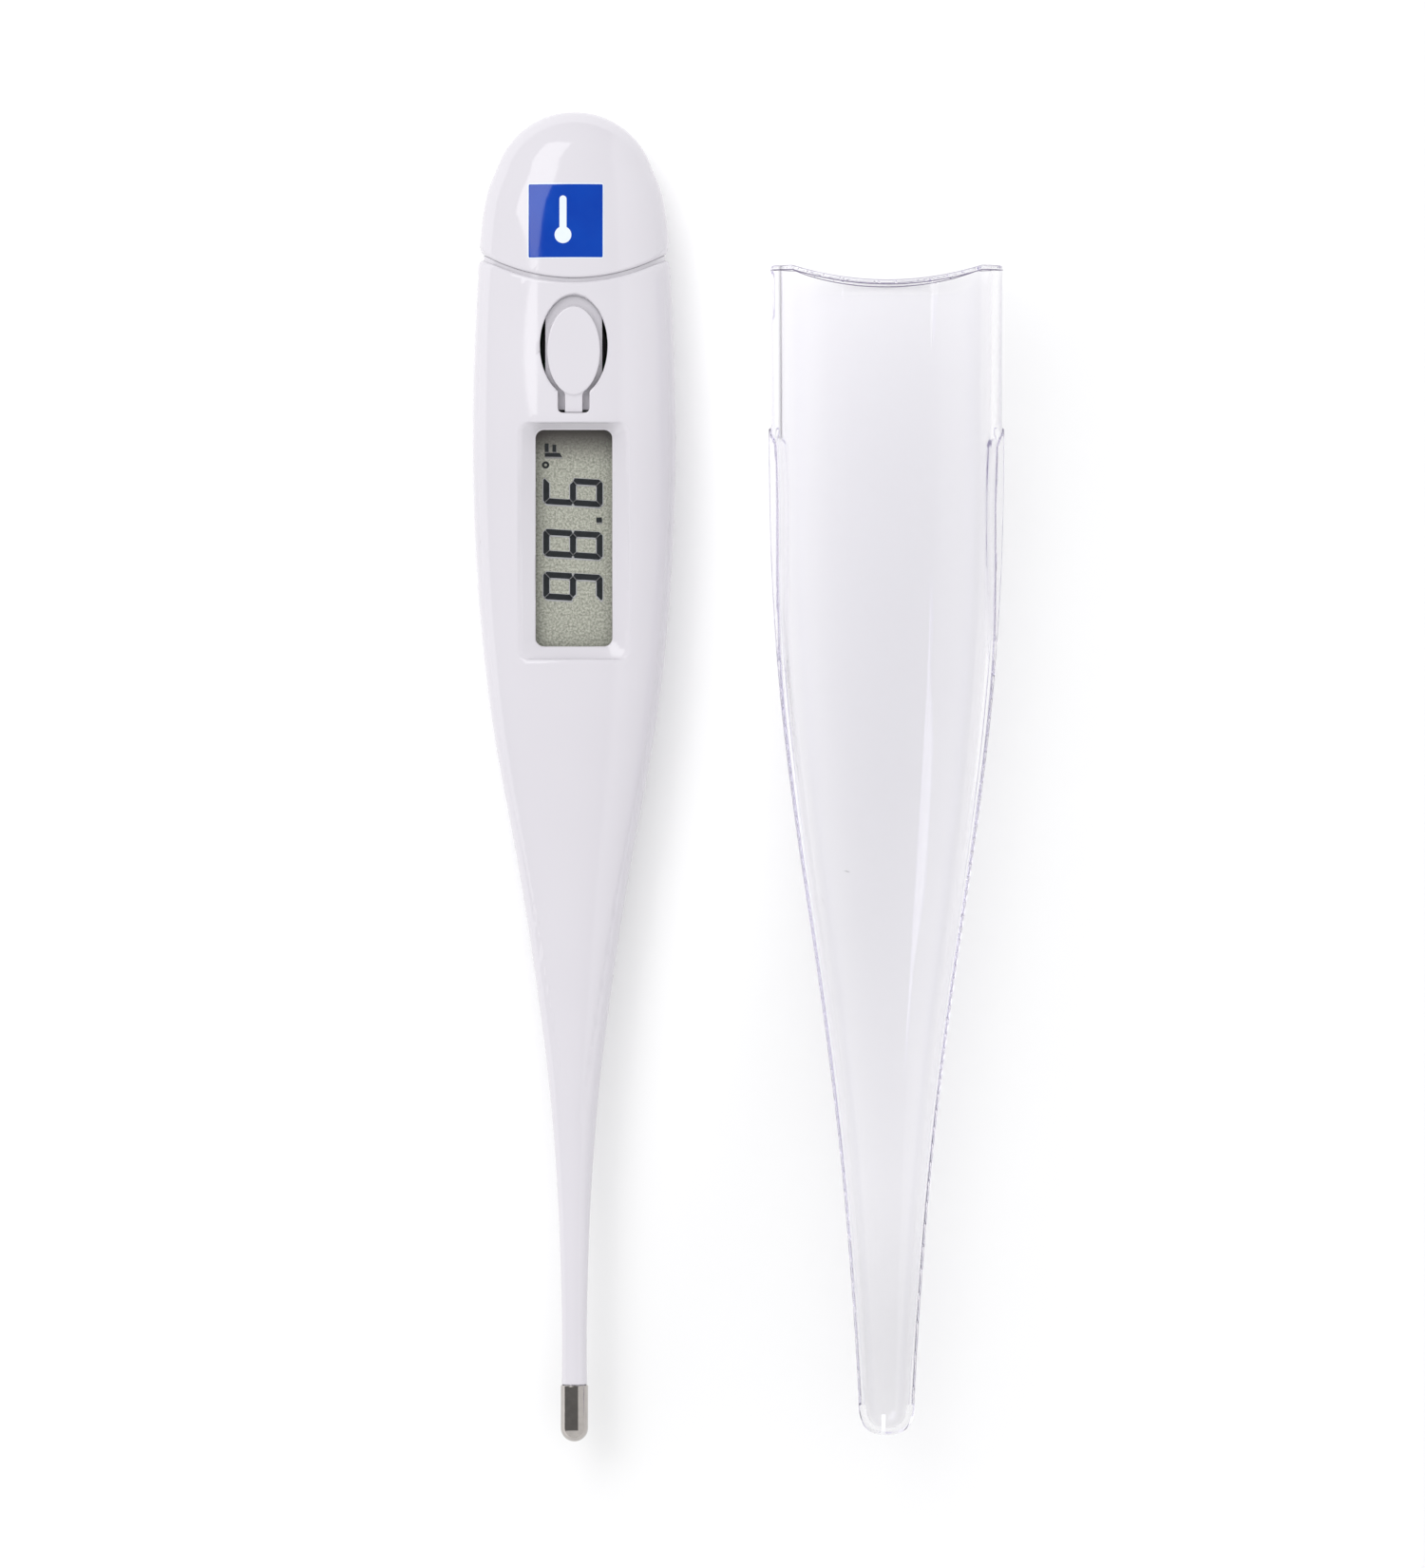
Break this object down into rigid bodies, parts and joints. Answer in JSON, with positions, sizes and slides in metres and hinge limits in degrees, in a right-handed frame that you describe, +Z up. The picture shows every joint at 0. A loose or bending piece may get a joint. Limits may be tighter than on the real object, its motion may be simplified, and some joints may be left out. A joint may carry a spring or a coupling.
{
  "type": "digital thermometer",
  "caption": "Stick-type digital clinical thermometer with metal probe tip, display, power key, battery cap and a clear slip-on storage case.",
  "frame": {"origin": "on the flat back of the housing, on the long axis, under the middle of the display window", "axes": "+Z up out of the display, +Y along the stick towards the battery cap, +X to the right, towards the storage case"},
  "size_m": [0.0508, 0.127, 0.0132],
  "materials": {
    "lavender_white_abs": "glossy moulded ABS, very slightly lavender white",
    "clear_window": "clear polished window",
    "polished_steel": "polished drawn stainless steel",
    "epoxy": "cured potting compound",
    "glass_bead": "glass-coated sensor bead",
    "tinned_copper": "thin enamelled wire",
    "grey_abs": "plain moulded plastic",
    "board_laminate": "green glass-fibre laminate with solder mask",
    "black_epoxy": "glob-top epoxy",
    "component_bodies": "ceramic chip parts",
    "connector_rubber": "layered conductive rubber",
    "solder": "bright solder",
    "reflector_film": "grey-green reflecting film",
    "display_glass": "thin display glass",
    "polariser_film": "fine matte grey-green polarising film",
    "black_rubber": "black silicone rubber",
    "carbon_pill": "conductive carbon rubber",
    "cell_steel": "nickel-plated steel can",
    "contact_metal": "nickel-plated spring strip",
    "brass_disc": "rolled brass",
    "piezo_ceramic": "silvered ceramic",
    "clear_plastic": "clear moulded polystyrene with a faint lavender tint"
  },
  "bodies": {
    "housing": {"main_housing": "lavender_white_abs", "display_lens": "clear_window", "probe_tip_cap": "polished_steel", "probe_potting": "epoxy", "thermistor_bead": "glass_bead", "thermistor_leads": "tinned_copper", "buzzer_disc": "brass_disc", "buzzer_ceramic": "piezo_ceramic"},
    "tray": {"inner_chassis": "grey_abs", "circuit_board": "board_laminate", "chip_blob": "black_epoxy", "surface_components": "component_bodies", "display_connector_left": "connector_rubber", "display_connector_right": "connector_rubber", "solder_joints": "solder", "display_reflector": "reflector_film", "display_rear_glass": "display_glass", "display_front_glass": "display_glass", "display_polariser": "polariser_film", "display_retainer": "grey_abs", "switch_pad": "black_rubber", "switch_contact": "carbon_pill", "battery_cell": "cell_steel", "battery_contact_minus": "contact_metal", "battery_contact_plus": "contact_metal", "buzzer_spring": "contact_metal"},
    "battery_cover": {"battery_cap": "lavender_white_abs"},
    "key": {"power_button": "lavender_white_abs"},
    "case": {"storage_case": "clear_plastic"}
  },
  "joints": [
    {"name": "key_press", "type": "hinge", "parent": "housing", "child": "key", "pos_m": [0, 0.01195, 0.0094], "axis": [-1, 0, 0], "range_deg": [0, 4.5], "stiffness_Nm_per_rad": 0.02},
    {"name": "cover_pull", "type": "slide", "parent": "housing", "child": "battery_cover", "axis": [0, 1, 0], "range_m": [0, 0.024]},
    {"name": "tray_pull", "type": "slide", "parent": "housing", "child": "tray", "axis": [0, 1, 0], "range_m": [0, 0.008], "deforming": ["thermistor_leads"]},
    {"name": "case_slide", "type": "slide", "parent": "housing", "child": "case", "axis": [0, -1, 0], "range_m": [0, 0.115]}
  ],
  "couplings": [
    {"joint": "tray_pull", "follows": "cover_pull", "ratio": 0.33333}
  ]
}
